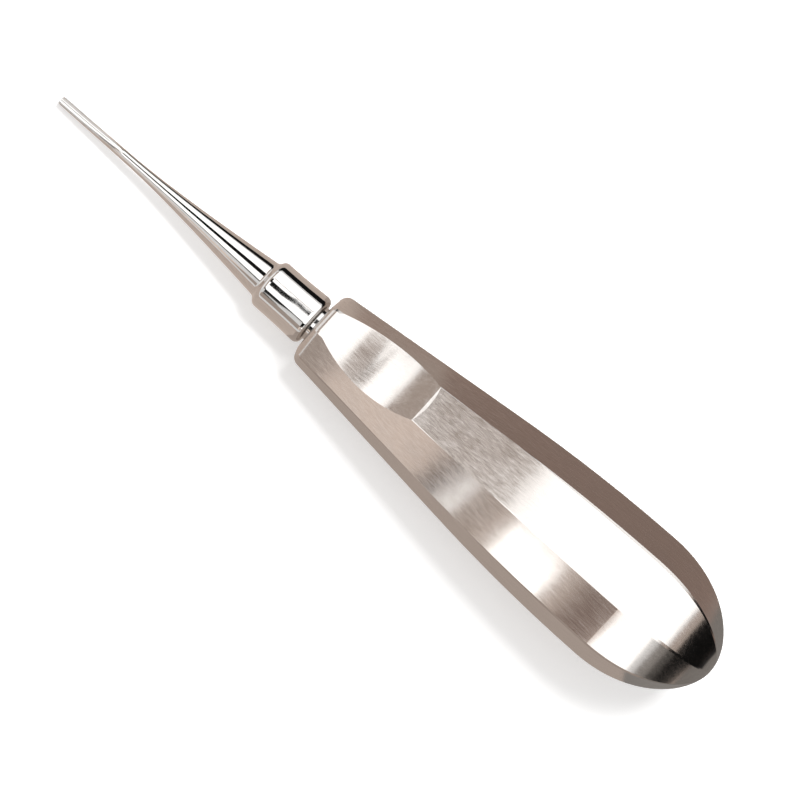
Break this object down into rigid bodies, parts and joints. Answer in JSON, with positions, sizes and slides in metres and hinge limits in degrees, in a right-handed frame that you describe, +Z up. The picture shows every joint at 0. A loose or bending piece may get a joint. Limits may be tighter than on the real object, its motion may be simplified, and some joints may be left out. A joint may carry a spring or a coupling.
{
  "type": "dental elevator",
  "caption": "Straight dental root elevator with a gouge blade, slender shank, polished collar and hollow pear-shaped octagonal handle with a thumb rest.",
  "frame": {"origin": "on the table under the middle of the instrument's length, lying as it rests on the bottom side of its handle", "axes": "+X along the instrument on the table towards the round end of the handle, +Z up on the thumb rest's side, +Y to the left of someone looking from the blade towards the handle"},
  "size_m": [0.1492, 0.0244, 0.0259],
  "materials": {
    "polished_steel": "mirror-polished stainless steel",
    "satin_steel": "satin stainless steel, brushed along the handle"
  },
  "bodies": {
    "root": {"working_end": "polished_steel", "handle": "satin_steel"}
  },
  "joints": []
}
